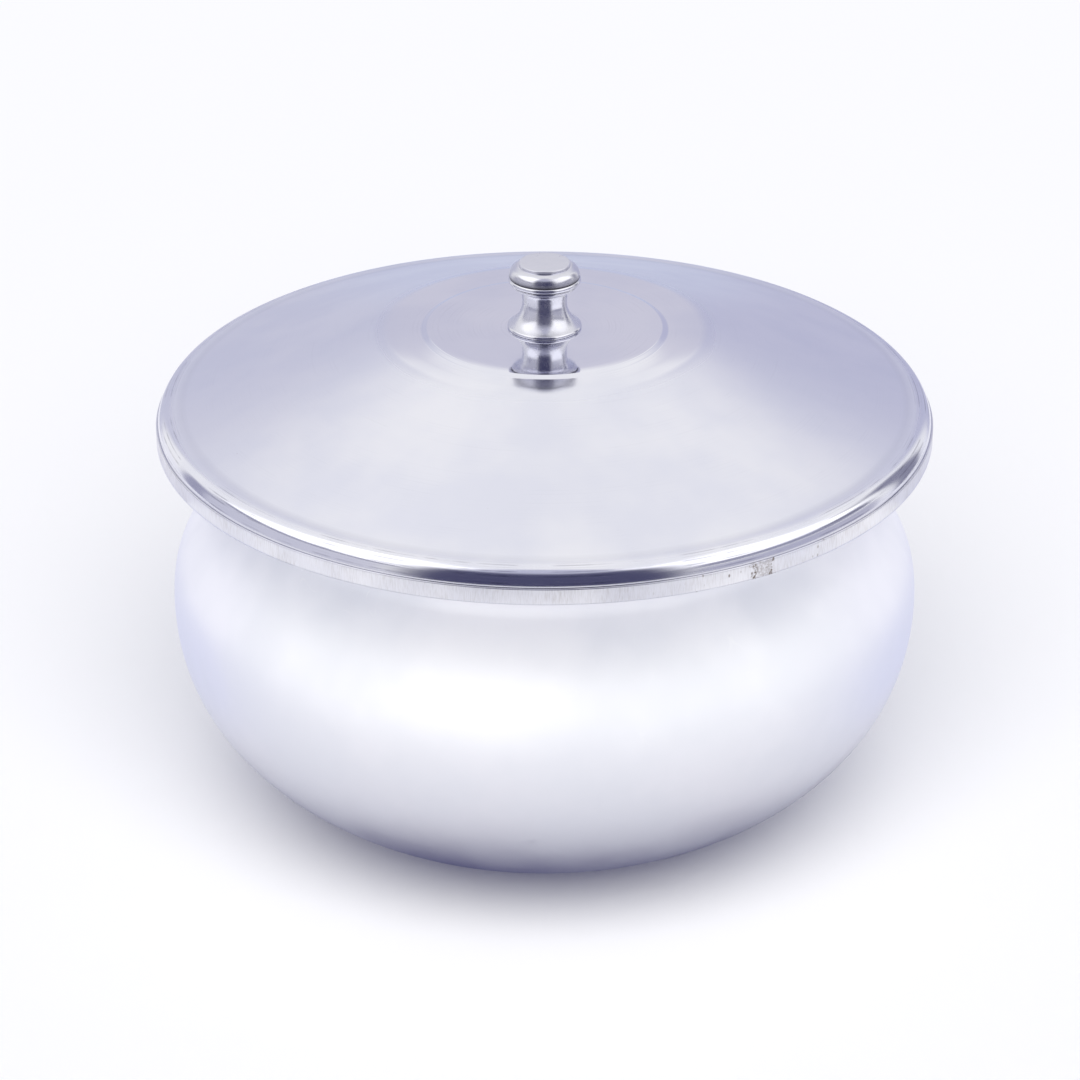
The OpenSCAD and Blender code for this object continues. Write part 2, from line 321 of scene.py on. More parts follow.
def lathe(profile, closed):
    """Points (r cos a, r sin a, z) of a profile (r, z) turned once round Z, and the faces between them.

    A closed profile joins its end to its start. An open one starts and ends on the axis, at one point each.
    """
    turn = np.linspace(0, 2 * np.pi, SEGMENTS, endpoint=False)
    rings = profile if closed else profile[1:-1]
    across = np.outer(rings[:, 0], np.cos(turn))
    along = np.outer(rings[:, 0], np.sin(turn))
    up = np.repeat(rings[:, 1:], SEGMENTS, axis=1)
    points = np.stack([across, along, up], axis=-1).reshape(-1, 3)
    index = np.arange(len(points)).reshape(len(rings), SEGMENTS)
    index = np.hstack([index, index[:, :1]])
    if closed:
        index = np.vstack([index, index[:1]])
    quads = grid_quads(index)
    if closed:
        return points, quads
    first, last = len(points), len(points) + 1
    poles = np.stack([np.zeros(2), np.zeros(2), profile[[0, -1], 1]], axis=1)
    start = np.stack([np.full(SEGMENTS, first), index[0, 1:], index[0, :-1]], axis=1)
    end = np.stack([index[-1, :-1], index[-1, 1:], np.full(SEGMENTS, last)], axis=1)
    return np.vstack([points, poles]), quads + start.tolist() + end.tolist()


def turned_piece(name, stretches, closed, material):
    """A turned mesh from stretches of profile, each with its points and its finish.

    The haze is the roughness. The path is the length along the profile, which the marks of spinning and
    turning follow.
    """
    profile = np.vstack([points for points, _ in stretches])
    points, faces = lathe(profile, closed)
    steps = np.linalg.norm(np.diff(profile, axis=0), axis=1)
    finish = {"path": np.append(0, np.cumsum(steps))}
    for key in stretches[0][1]:
        finish[key] = np.concatenate([np.broadcast_to(values[key], len(part)) for part, values in stretches])
    spread = {key: np.repeat(values if closed else values[1:-1], SEGMENTS) for key, values in finish.items()}
    if not closed:
        spread = {key: np.append(spread[key], values[[0, -1]]) for key, values in finish.items()}
    piece = mesh_object(name, points, faces, spread, material)
    piece.data.polygons.foreach_set("use_smooth", np.ones(len(faces), bool))
    piece.data.set_sharp_from_angle(angle=SHARP_TURN)
    return piece


def bowl_stretches(size):
    """Bowl: flat base, two cubic curves, hollow neck bend, straight flare and rolled lip, and back inside.

    The haze grows from the foot up the flank, and again from the shoulder to the neck.
    """
    outside = {"haze": size.outside, "inner": 0.0}
    neck = {"haze": size.neck, "inner": 0.0}
    rolled = {"haze": size.lip, "inner": 0.0}
    inside = {"haze": size.inside, "inner": 1.0}
    lip_c = np.array([BOWL_HIGH.x - size.lip_r, BOWL_HIGH.z - size.lip_r])
    shoulder = np.array([size.shoulder_r, BOWL_HIGH.z - size.neck_h])
    neck_c = shoulder + size.neck_bend_r * polar(size.shoulder_lean)
    flare = tangent_normal(neck_c, size.neck_bend_r + size.wall, lip_c, size.lip_r)
    lip_join = math.acos(-(size.lip_r - size.wall) / size.lip_r)
    base = np.array([size.base_r, BOWL_LOW.z])
    belly = np.array([size.belly_r, size.belly_z])
    base_handle = base + size.base_reach * polar(size.base_rise)
    shoulder_handle = shoulder - size.shoulder_reach * polar(math.pi / 2 + size.shoulder_lean)
    lower = [base, base_handle, belly - [0, size.belly_reach], belly]
    upper = [belly, belly + [0, size.belly_reach_up], shoulder_handle, shoulder]
    floor_corner = np.array([size.base_r - size.wall * math.tan(size.base_rise / 2), BOWL_LOW.z + size.wall])
    neck_turn = (size.shoulder_lean + math.pi, flare)
    lip_start = flare - math.pi - lip_join
    outer_neck = arc(neck_c, size.neck_bend_r, *neck_turn)
    inner_neck = arc(neck_c, size.neck_bend_r + size.wall, *neck_turn[::-1])
    lip = arc(lip_c, size.lip_r, lip_start, flare)
    flank = curve(lower, 0)
    reached = smooth(np.linspace(0, 1, len(flank)), 0, FLANK_BUFFED)
    buffed = size.foot + (size.outside - size.foot) * reached
    rise = curve(upper, 0)
    up = np.linspace(0, 1, len(rise))[1:]
    dulled = size.outside + (size.neck - size.outside) * smooth(up, NECK_DULL, 1)
    bottom = np.array([[0, BOWL_LOW.z]])
    top = np.array([[0, BOWL_LOW.z + size.wall]])
    return [
        (bottom, outside),
        (line(bottom[0], base), outside),
        (flank, {**outside, "haze": buffed}),
        (rise[1:], {**outside, "haze": dulled}),
        (outer_neck[1:], neck),
        (line(outer_neck[-1], lip[0]), rolled),
        (lip, rolled),
        (line(lip[-1], inner_neck[0]), inside),
        (inner_neck, inside),
        (curve(upper, size.wall)[-2::-1], inside),
        (curve(lower, size.wall)[-2:0:-1], inside),
        (floor_corner[None], inside),
        (line(floor_corner, top[0]), inside),
        (top, inside),
    ]


def lid_stretches(size):
    """Lid: flat disc, step of two bends, land, cone, groove, rounded rim and skirt, and the same below."""
    mirror = {"haze": size.mirror, "skirt": 0.0, "recess_shade": 0.0, "lines": DISC_LINES}
    cone = {"haze": size.cone, "skirt": 0.0, "recess_shade": 0.0, "lines": CONE_LINES}
    land_haze = {**mirror, "haze": size.land}
    skirt = {"haze": size.skirt, "skirt": 1.0, "recess_shade": 0.0, "lines": 0.0}
    inside = {"haze": size.inside, "skirt": 0.0, "recess_shade": 0.0, "lines": UNDER_LINES}
    skirt_r = LID_HIGH.x
    rim_z = LID_LOW.z + size.skirt_h
    crown_z = LID_HIGH.z
    quarter = math.pi / 2
    step = quarter - size.step_slope
    land = quarter - size.land_slope
    groove = quarter + size.groove_slope
    disc_c = np.array([size.disc_r, crown_z - size.step_bend_r])
    step_c = disc_c + 2 * size.step_bend_r * polar(step)
    land_start = step_c - size.step_bend_r * polar(land)
    land_end = land_start + (size.land_r - land_start[0]) * np.array([1, -math.tan(size.land_slope)])
    land_c = land_end - size.land_bend_r * polar(land)
    rim_c = np.array([skirt_r - size.skirt_step - size.rim_round_r, rim_z])
    groove_c = rim_c + (size.rim_round_r + size.groove_r) * polar(groove)
    slope = tangent_normal(land_c, size.land_bend_r, groove_c, -size.groove_r)
    edge_c = np.array([skirt_r - size.skirt_edge_r, rim_z - size.skirt_edge_r])
    hem_r = (size.skirt_step + size.wall) / 2
    hem_c = np.array([skirt_r - hem_r, LID_LOW.z + hem_r])

    def sheet(depth):
        """The sheet's bends at a depth below its upper face."""
        return [
            arc(disc_c, size.step_bend_r - depth, quarter, step),
            arc(step_c, -size.step_bend_r - depth, step, land)[1:],
            arc(land_c, size.land_bend_r - depth, land, slope),
            arc(groove_c, -size.groove_r - depth, slope, groove),
            arc(rim_c, size.rim_round_r - depth, groove, 0)[1:],
        ]

    top, below = sheet(0), sheet(size.wall)
    hole = np.array([[size.hole_r, crown_z]])
    edge = arc(edge_c, size.skirt_edge_r, quarter, 0)
    hem = arc(hem_c, hem_r, 0, -math.pi)
    fade = np.linspace(size.land, size.cone, len(top[2]))
    # Painted shade along the groove, darkest at its middle
    painted_shade = GROOVE_SHADE * np.sin(np.linspace(0, math.pi, len(top[3])))
    round_off = np.linspace(0, 1, len(top[4]))
    buffed = size.cone + (size.rim - size.cone) * smooth(round_off, 0, RIM_BUFFED)
    # Painted shade in the crease where the rounded rim meets the skirt
    rim = {"haze": buffed, "skirt": 0.0, "recess_shade": smooth(round_off, *RIM_CREASE_SHADE), "lines": RIM_LINES}
    under = np.vstack(
        [
            below[4][::-1],
            below[3][::-1],
            line(below[3][0], below[2][-1]),
            below[2][::-1],
            line(below[2][0], below[1][-1]),
            below[1][::-1],
            below[0][::-1],
            line(below[0][0], hole[0] - [0, size.wall]),
            hole - [0, size.wall],
        ]
    )
    return [
        (hole, mirror),
        (line(hole[0], top[0][0]), mirror),
        (top[0], mirror),
        (top[1], land_haze),
        (line(top[1][-1], top[2][0]), land_haze),
        (top[2], {**cone, "haze": fade}),
        (line(top[2][-1], top[3][0]), cone),
        (top[3], {**cone, "recess_shade": painted_shade}),
        (top[4], rim),
        (edge, skirt),
        (line(edge[-1], hem[0]), skirt),
        (hem, skirt),
        (line(hem[-1], below[4][-1]), inside),
        (under, inside),
    ]


def knob_stretches(size):
    """Knob: rounded foot, hollow waist, neck, cove, two rings, rounded head and flat cap, over a blind bore.

    The painted shade is 1 at the bottom of a groove and in the bore. On the way out it falls off as a power
    of the share that is left.
    """
    quarter = math.pi / 2
    low = np.array([0, KNOB_LOW.z])
    top = np.array([0, KNOB_HIGH.z])
    foot_c = low + [size.foot_r - size.foot_round_r, size.foot_edge_r]
    foot_end = foot_c + size.foot_round_r * polar(size.foot_turn)
    waist_bend_r = (foot_end[0] - size.waist_r) / (1 - math.cos(size.foot_turn))
    waist_c = foot_end + waist_bend_r * polar(size.foot_turn)
    waist_end = waist_c - waist_bend_r * polar(-size.neck_lean)
    neck_end = waist_end + size.neck_rise * polar(quarter - size.neck_lean)
    cove_r = (size.collar_r - size.collar_bead_r - neck_end[0]) / math.cos(size.neck_lean)
    cove_c = neck_end + cove_r * polar(-size.neck_lean)
    collar_c = np.array([size.collar_r - size.collar_bead_r, cove_c[1] + cove_r + size.collar_bead_r])
    ledge_z = collar_c[1] + size.collar_bead_r + size.ring_gap + size.ledge_bead_r
    ledge_c = np.array([size.ledge_r - size.ledge_bead_r, ledge_z])
    head_z = ledge_z + size.ledge_bead_r + size.ring_gap + size.head_round_r * math.sin(size.head_under)
    head_c = np.array([size.head_r - size.head_round_r, head_z])
    head_end = math.acos((size.cap_r - head_c[0]) / size.head_round_r)
    foot = arc(low + [size.foot_r - size.foot_edge_r, size.foot_edge_r], size.foot_edge_r, -quarter, 0)
    waist = arc(waist_c, -waist_bend_r, size.foot_turn, -size.neck_lean)
    cove = arc(cove_c, -cove_r, -size.neck_lean, -quarter)
    collar = arc(collar_c, size.collar_bead_r, -quarter, quarter)
    ledge = arc(ledge_c, size.ledge_bead_r, -quarter, quarter)
    head = arc(head_c, size.head_round_r, -size.head_under, head_end)
    cap = arc(top + [size.cap_r - size.cap_edge_r, -size.cap_edge_r], size.cap_edge_r, 0, quarter)
    bore = np.array([size.bore_r, KNOB_LOW.z])
    bore_end = bore + [0, size.bore_depth]
    tip = np.array([[0, bore_end[1] + size.bore_r / 2]])
    below = np.vstack([tip, bore_end[None], line(bore_end, bore), bore[None], line(bore, foot[0])])
    hollow = np.vstack([waist[1:], line(waist[-1], cove[0]), cove])
    flat = np.vstack([cap, line(cap[-1], top), top[None]])
    # The third column is the painted shade in the grooves, at the foot's lower edge and in the bore
    outline = [
        (below, size.hollow, 1),
        (foot, size.polish, np.linspace(1, 0, len(foot)) ** SHADE_FALL),
        (arc(foot_c, size.foot_round_r, 0, size.foot_turn)[1:], size.polish, 0),
        (hollow, size.hollow, 0),
        (collar[1:], size.polish, np.linspace(0, 1, len(collar) - 1) ** SHADE_FALL),
        (ledge, size.polish, np.linspace(-1, 1, len(ledge)) ** SHADE_FALL),
        (head, size.polish, np.linspace(1, 0, len(head)) ** SHADE_FALL),
        (flat, size.worn, 0),
    ]
    return [(points, {"haze": haze, "recess_shade": recess_shade}) for points, haze, recess_shade in outline]


# Finishes

# The old stain on the skirt: its turn from the front, half its width, how far its two dark runs lie from its
# middle and wander to each side, and how far from its middle the last loose flecks are
STAIN_TURN = math.radians(31.4)
STAIN_WIDTH = 3.6 * MM
STAIN_RUNS = 2.6 * MM
STAIN_WANDER = 1.1 * MM
STAIN_REACH = 34 * MM

# The middle of a noise, and the values between which nearly all of it lies
NOISE_MIDDLE = 0.5
NOISE_SPAN = {"From Min": 0.3, "From Max": 0.7}


def add(tree, kind, inputs=None, **settings):
    """Adds a node with its properties, from settings, and its inputs, each a value, a socket or a node.

    A node that is given as an input stands for its first output.
    """
    node = tree.nodes.new("ShaderNode" + kind)
    for name, value in settings.items():
        setattr(node, name, value)
    for socket, value in (inputs or {}).items():
        if isinstance(value, bpy.types.Node):
            value = value.outputs[0]
        if isinstance(value, bpy.types.NodeSocket):
            tree.links.new(value, node.inputs[socket])
        else:
            node.inputs[socket].default_value = value
    return node


def new_material(name):
    """An empty node material and its tree."""
    material = bpy.data.materials.new(name)
    material.use_nodes = True
    material.node_tree.nodes.clear()
    return material, material.node_tree


def specks(tree, place, spacing, size, share_kept):
    """Mask of scattered round specks: one in each cell of the spacing, of which a share is kept."""
    cells = add(tree, "TexVoronoi", {"Vector": place, "Scale": 1 / spacing})
    edge = size / spacing
    dot = add(tree, "MapRange", {"Value": cells, "From Min": edge, "From Max": edge / 2})
    lot = add(tree, "SeparateXYZ", {"Vector": cells.outputs["Color"]})
    kept = add(tree, "Math", {0: lot, 1: share_kept}, operation="LESS_THAN")
    return add(tree, "Math", {0: dot, 1: kept}, operation="MULTIPLY")


def hairlines(tree, place, run, turn, share_kept):
    """Mask of fine scratches: thin level lines of a stretched noise, kept where a broader noise is high."""
    stretch = 0.08
    line_edge = 0.012
    line_core = 0.003
    patches_in_run = 0.7
    patch_edge = 0.06
    stretched = add(tree, "Mapping", {"Vector": place, "Rotation": turn, "Scale": (1, stretch, 1)})
    waves = add(tree, "TexNoise", {"Vector": stretched, "Scale": 1 / run, "Detail": 0.0})
    level = add(tree, "Math", {0: waves, 1: NOISE_MIDDLE}, operation="SUBTRACT")
    away = add(tree, "Math", {0: level}, operation="ABSOLUTE")
    thin = add(tree, "MapRange", {"Value": away, "From Min": line_edge, "From Max": line_core})
    patches = add(tree, "TexNoise", {"Vector": place, "Scale": patches_in_run / run, "Detail": 1.0})
    low = 1 - share_kept
    kept = add(tree, "MapRange", {"Value": patches, "From Min": low, "From Max": low + patch_edge})
    return add(tree, "Math", {0: thin, 1: kept}, operation="MULTIPLY")


def layered(tree, base, layers):
    """Colour of a base under layers, each a mask from 0 to 1 and the colour that shows where it is 1."""
    tint = tuple(base)
    for mask, tone in layers:
        tint = add(tree, "Mix", {0: mask, 6: tint, 7: tuple(tone)}, data_type="RGBA").outputs[2]
    return tint


def metal(tree, tint, rough, height, strength, depth):
    """Surface of bare metal with a colour, a roughness and a fine relief of a depth in metres."""
    bump = add(tree, "Bump", {"Height": height, "Strength": strength, "Distance": depth})
    finish = {"Base Color": tint, "Metallic": 1.0, "Roughness": rough, "Normal": bump}
    add(tree, "OutputMaterial", {"Surface": add(tree, "BsdfPrincipled", finish)})


def spun_stainless(size):
    """Stainless steel, spun and buffed.

    The wheel leaves a soft white satin with cloudy haze. Faint rings follow the spinning, the inside keeps
    its rings clear, and use has left hairline scratches and a few small pits. The rings are drawn three
    times too coarse, as they are too fine to show.
    """
    cloud_width = 38 * MM
    ring_width = 0.9 * MM
    haze_change = 0.07
    outer_rings = 0.25
    scratch_gloss = 0.12
    scratch_depth = 0.5
    material, tree = new_material("stainless_steel_spun_and_buffed")
    place = add(tree, "TexCoord").outputs["Object"]
    names = ("haze", "inner", "path")
    haze, inner, path = (add(tree, "Attribute", attribute_name=name).outputs["Fac"] for name in names)
    clouds = add(tree, "TexNoise", {"Vector": place, "Scale": 1 / cloud_width, "Detail": 3.0})
    cloud = add(tree, "MapRange", {"Value": clouds, **NOISE_SPAN}, interpolation_type="SMOOTHSTEP")
    rings = add(tree, "TexNoise", {"W": path, "Scale": 1 / ring_width}, noise_dimensions="1D")
    pits = specks(tree, place, spacing=9 * MM, size=0.24 * MM, share_kept=0.14)
    scratches = hairlines(tree, place, run=5 * MM, turn=(0.4, 0.9, 0.6), share_kept=0.4)
    tint = layered(tree, size.steel, [(cloud, size.dull), (pits, size.pit)])
    spread = add(tree, "MapRange", {"Value": cloud, "To Min": -haze_change, "To Max": haze_change})
    rough = add(tree, "Math", {0: haze, 1: spread}, operation="ADD")
    rough = add(tree, "Math", {0: scratches, 1: -scratch_gloss, 2: rough}, operation="MULTIPLY_ADD")
    clear = add(tree, "MapRange", {"Value": inner, "To Min": outer_rings})
    height = add(tree, "Math", {0: rings, 1: clear}, operation="MULTIPLY")
    height = add(tree, "Math", {0: scratches, 1: -scratch_depth, 2: height}, operation="MULTIPLY_ADD")
    metal(tree, tint, rough, height, strength=0.4, depth=0.01 * MM)
    return material


def skirt_stain(tree, place, skirt):
    """Mask of an old stain on the skirt.

    A faint patch has a darker, wandering run near each side and is broken up by a fine noise. Loose flecks
    lie round it and grow fainter away from it.
    """
    wander_height = 1.6 * MM
    mottle_width = 0.55 * MM
    run_edge = 0.9 * MM
    run_core = 0.1 * MM
    patch_strength = 0.35
    run_strength = 0.75
    fleck_strength = 0.9
    fleck_stretch = 0.6
    level = add(tree, "Mapping", {"Vector": place, "Scale": (1, 1, 0)})
    middle = (LID_HIGH.x * math.sin(STAIN_TURN), -LID_HIGH.x * math.cos(STAIN_TURN), 0)
    away = add(tree, "VectorMath", {0: level, 1: middle}, operation="DISTANCE").outputs["Value"]
    wander = add(tree, "TexNoise", {"Vector": place, "Scale": 1 / wander_height, "Detail": 1.0})
    span = {"From Min": 0.25, "From Max": 0.75, "To Min": -STAIN_WANDER, "To Max": STAIN_WANDER}
    shift = add(tree, "MapRange", {"Value": wander, **span})
    away = add(tree, "Math", {0: away, 1: shift}, operation="ADD")
    from_run = add(tree, "Math", {0: away, 1: STAIN_RUNS}, operation="SUBTRACT")
    from_run = add(tree, "Math", {0: from_run}, operation="ABSOLUTE")
    span = {"From Min": STAIN_WIDTH, "From Max": STAIN_RUNS, "To Max": patch_strength}
    patch = add(tree, "MapRange", {"Value": away, **span})
    span = {"From Min": run_edge, "From Max": run_core, "To Max": run_strength}
    run = add(tree, "MapRange", {"Value": from_run, **span})
    both = add(tree, "Math", {0: patch, 1: run}, operation="ADD")
    broken = add(tree, "TexNoise", {"Vector": place, "Scale": 1 / mottle_width})
    mottle = add(tree, "MapRange", {"Value": broken, "From Min": 0.38, "From Max": 0.62})
    mask = add(tree, "Math", {0: both, 1: mottle}, operation="MULTIPLY")
    span = {"From Min": STAIN_REACH, "From Max": STAIN_RUNS, "To Max": fleck_strength}
    near = add(tree, "MapRange", {"Value": away, **span})
    tall = add(tree, "Mapping", {"Vector": place, "Scale": (1, 1, fleck_stretch)})
    flecks = specks(tree, tall, spacing=1.5 * MM, size=0.34 * MM, share_kept=0.4)
    flecks = add(tree, "Math", {0: flecks, 1: near}, operation="MULTIPLY")
    mask = add(tree, "Math", {0: mask, 1: flecks}, operation="MAXIMUM")
    return add(tree, "Math", {0: mask, 1: skirt}, operation="MULTIPLY")


def pressed_stainless(size):
    """Stainless steel, pressed and polished.

    The disc and the rim are near mirrors, and the cone keeps the cloudy haze of the buffing wheel. Polishing
    has left thin lines along the rim in places, and drawing has left upright marks all round the skirt,
    which is stained in one place. Small pits show where the polish is bright. Painted shade darkens the
    groove and the crease above the skirt. The lines and marks are drawn about three times too coarse, as they
    are too fine to show.
    """
    cloud_width = 30 * MM
    line_width = 0.6 * MM
    mark_width = 0.26 * MM
    mark_stretch = 0.12
    mark_depth = 0.35
    group_width = 9 * MM
    shade_strength = 0.45
    stain_haze = 0.3
    material, tree = new_material("stainless_steel_pressed_and_polished")
    place = add(tree, "TexCoord").outputs["Object"]
    names = ("haze", "skirt", "recess_shade", "lines", "path")
    haze, skirt, recess_shade, lined, path = (
        add(tree, "Attribute", attribute_name=name).outputs["Fac"] for name in names
    )
    clouds = add(tree, "TexNoise", {"Vector": place, "Scale": 1 / cloud_width, "Detail": 3.0})
    cloud = add(tree, "MapRange", {"Value": clouds, **NOISE_SPAN}, interpolation_type="SMOOTHSTEP")
    rings = add(tree, "TexNoise", {"W": path, "Scale": 1 / line_width}, noise_dimensions="1D")
    upright = add(tree, "Mapping", {"Vector": place, "Scale": (1, 1, mark_stretch)})
    marks = add(tree, "TexNoise", {"Vector": upright, "Scale": 1 / mark_width, "Detail": 3.0})
    groups = add(tree, "TexNoise", {"Vector": place, "Scale": 1 / group_width})
    span = {**NOISE_SPAN, "To Min": 0.35}
    grouped = add(tree, "MapRange", {"Value": groups, **span}, interpolation_type="SMOOTHSTEP")
    span = {"From Min": 0.42, "From Max": 0.72, "To Min": 0.1, "To Max": 0.42}
    dark = add(tree, "MapRange", {"Value": marks, **span})
    drawn = add(tree, "Math", {0: dark, 1: grouped}, operation="MULTIPLY")
    drawn = add(tree, "Math", {0: drawn, 1: skirt}, operation="MULTIPLY")
    thin = add(tree, "MapRange", {"Value": rings, "From Min": 0.52, "From Max": 0.7, "To Max": 0.6})
    patch = add(tree, "MapRange", {"Value": groups, "From Min": 0.45, "From Max": 0.62})
    streak = add(tree, "Math", {0: thin, 1: patch}, operation="MULTIPLY")
    streak = add(tree, "Math", {0: streak, 1: lined}, operation="MULTIPLY")
    # Painted shade in the groove and in the crease above the skirt
    painted_shade = add(tree, "Math", {0: recess_shade, 1: shade_strength}, operation="MULTIPLY")
    pits = specks(tree, place, spacing=7 * MM, size=0.22 * MM, share_kept=0.14)
    stain = skirt_stain(tree, place, skirt)
    layers = [
        (cloud, size.dull),
        (drawn, size.marks),
        (streak, size.recess_shade),
        # painted shade in the groove and the crease above the skirt
        (painted_shade, size.recess_shade),
        (pits, size.pit),
        (stain, size.stain),
    ]
    tint = layered(tree, size.steel, layers)
    spread = add(tree, "MapRange", {"Value": cloud, "To Min": 0.87, "To Max": 1.13})
    rough = add(tree, "Math", {0: haze, 1: spread}, operation="MULTIPLY")
    rough = add(tree, "Math", {0: stain, 1: stain_haze, 2: rough}, operation="MULTIPLY_ADD")
    drawing = add(tree, "Math", {0: marks, 1: skirt}, operation="MULTIPLY")
    drawing = add(tree, "Math", {0: drawing, 1: mark_depth}, operation="MULTIPLY")
    rings = add(tree, "Math", {0: rings, 1: NOISE_MIDDLE}, operation="SUBTRACT")
    clear = add(tree, "Math", {0: lined, 1: grouped}, operation="MULTIPLY")
    height = add(tree, "Math", {0: rings, 1: clear, 2: drawing}, operation="MULTIPLY_ADD")
    metal(tree, tint, rough, height, strength=0.4, depth=0.02 * MM)
    return material


def turned_steel(size):
    """Steel, turned and polished: bright reflections, traces of the turning, and painted shade in the
    grooves.

    The marks are drawn about three times too coarse, as they are too fine to show.
    """
    ring_width = 0.35 * MM
    wear_width = 3 * MM
    recess_haze = 0.4
    material, tree = new_material("steel_turned_and_polished")
    place = add(tree, "TexCoord").outputs["Object"]
    names = ("haze", "recess_shade", "path")
    haze, recess_shade, path = (add(tree, "Attribute", attribute_name=name).outputs["Fac"] for name in names)
    rings = add(tree, "TexNoise", {"W": path, "Scale": 1 / ring_width}, noise_dimensions="1D")
    wear = add(tree, "TexNoise", {"Vector": place, "Scale": 1 / wear_width, "Detail": 4.0})
    # Painted shade in the grooves, at the foot's lower edge and in the bore
    tint = layered(tree, size.chrome, [(recess_shade, size.recess_shade)])
    spread = add(tree, "MapRange", {"Value": wear, **NOISE_SPAN, "To Min": 0.75, "To Max": 1.5})
    rough = add(tree, "Math", {0: haze, 1: spread}, operation="MULTIPLY")
    rough = add(tree, "Math", {0: recess_shade, 1: recess_haze, 2: rough}, operation="MULTIPLY_ADD")
    metal(tree, tint, rough, rings, strength=0.2, depth=0.003 * MM)
    return material


def zinc_plate(size):
    """Steel, bright zinc plated: a cool grey with the plating's fine mottle."""
    mottle_width = 0.8 * MM
    smoother = 0.08
    rougher = 0.1
    material, tree = new_material("steel_bright_zinc_plated")
    place = add(tree, "TexCoord").outputs["Object"]
    mottle = add(tree, "TexNoise", {"Vector": place, "Scale": 1 / mottle_width, "Detail": 3.0})
    span = {**NOISE_SPAN, "To Min": size.plating - smoother, "To Max": size.plating + rougher}
    rough = add(tree, "MapRange", {"Value": mottle, **span})
    metal(tree, tuple(size.zinc), rough, mottle, strength=0.2, depth=0.02 * MM)
    return material


# Stage

# The photograph's frame: its width, its focal length and the place of the lid's axis at the height of the
# rim's lower edge, in pixels, and the width of the camera's sensor in millimetres
PHOTO_WIDTH = 1080
FOCAL_PIXELS = 3850
RIM_PIXEL = (544.5, 410.3)
SENSOR = 36

# How far the floor goes to each side, in metres, and the gap that keeps the base and the sheets off it
FLOOR_REACH = 4.0
FLOOR_GAP = 0.1 * MM

# Cards that only polished metal shows. Each has azimuths, 0 on the camera's side and growing to the right,
# elevations seen from the lid's disc, the widths of its soft sides and top, its distance in metres, its
# colour and its strength. Angles are in degrees.
CARDS = {
    "camera_flag": ((-44, 44), (-16, 58), (17, 20), 0.42, "#51516E", 1.0),
    "overhead_scrim": ((-38, 38), (44, 88), (8, 6), 1.05, "#C6C7DA", 1.0),
    "left_softbox": ((-112, -33), (28, 76), (5, 5), 1.0, "#FFFFFF", 1.5),
    "right_softbox": ((30, 108), (20, 66), (5, 5), 1.0, "#FFFFFF", 1.5),
    "left_mid_card": ((-104, -36), (18, 26), (6, 4), 0.45, "#9494AA", 1.0),
    "right_mid_card": ((36, 100), (8, 22), (6, 4), 0.45, "#9C9CB0", 1.0),
    "left_low_card": ((-104, -38), (-16, 19), (6, 4), 0.44, "#D6D6E2", 1.0),
    "right_low_card": ((36, 100), (-16, 7), (6, 3), 0.44, "#BFBFD0", 1.0),
    "left_stand": ((-114, -98), (-14, 18), (4, 8), 0.43, "#A6A6BC", 1.0),
    "right_stand": ((104, 124), (-14, 34), (4, 8), 0.43, "#8F8FA3", 1.0),
    "back_card": ((148, 212), (-16, 27.5), (8, 1), 0.46, "#D8D7E4", 1.0),
    "low_back_card": ((140, 220), (-16, 13), (10, 7), 0.45, "#CDD3E9", 1.0),
    "left_back_card": ((-172, -128), (-16, 48), (10, 28), 0.44, "#D0D1E2", 1.0),
    "right_back_card": ((128, 172), (-16, 48), (10, 28), 0.44, "#C4C5DC", 1.0),
}
CARD_COLUMNS = 33
CARD_ROWS = 33
SHEET_COLUMNS = 4 * CARD_COLUMNS

# The white tent slopes from the lid's rim to the floor: radius and height of its top and of its foot, and the
# azimuths, colour and strength of each side
TENT_TOP = (101.2 * MM, 103.5 * MM)
TENT_FOOT = (390 * MM, 0.5 * MM)
TENT_SIDES = {
    "front_tent": ((-64, 64), "#FFFFFF", 1.18),
    "left_tent": ((-135, -64), "#F3F3FA", 1.08),
    "right_tent": ((64, 135), "#F3F3FA", 1.08),
    "back_tent": ((135, 225), "#E6EAFE", 0.85),
}

# The pale sheet on the floor at the sides and the back: its azimuths, its radii and its colour
SIDE_SHEET = (75, 285)
SIDE_SHEET_RADII = (130 * MM, 330 * MM)
SIDE_SHEET_TONE = "#D2D6F0"

# The painted shadow round the base, a dark sheet on the floor that only polished metal shows: its radii,
# where its solid part and its thin film fade, the film's share, and its colour
SHADOW_SHEET_RADII = (46.5 * MM, 300 * MM)
SHADOW_SHEET_DARK = (71 * MM, 118 * MM)
SHADOW_SHEET_THIN = (110 * MM, 300 * MM)
SHADOW_SHEET_FILM = 0.28
SHADOW_SHEET_TONE = "#10105A"


def stage_sheet(name, points, clear, material):
    """A stage sheet through a grid of points, with how clear it is at each as an attribute."""
    index = np.arange(clear.size).reshape(clear.shape)
    sheet = mesh_object(name, points.reshape(-1, 3), grid_quads(index), {"clear": clear.ravel()}, material)
    return sheet


def dome_card(name, centre, azimuths, elevations, soft, distance, material):
    """Part of a sphere, centre + distance * (cos e sin a, -cos e cos a, sin e), with soft sides and top."""
    a, e = np.meshgrid(np.linspace(*azimuths, CARD_COLUMNS), np.linspace(*elevations, CARD_ROWS))
    side = smooth(np.minimum(a - azimuths[0], azimuths[1] - a), 0, soft[0])
    top = smooth(elevations[1] - e, 0, soft[1])
    turn, rise = np.radians(a), np.radians(e)
    way = np.stack([np.cos(rise) * np.sin(turn), -np.cos(rise) * np.cos(turn), np.sin(rise)], axis=-1)
    return stage_sheet(name, np.asarray(centre) + distance * way, 1 - side * top, material)


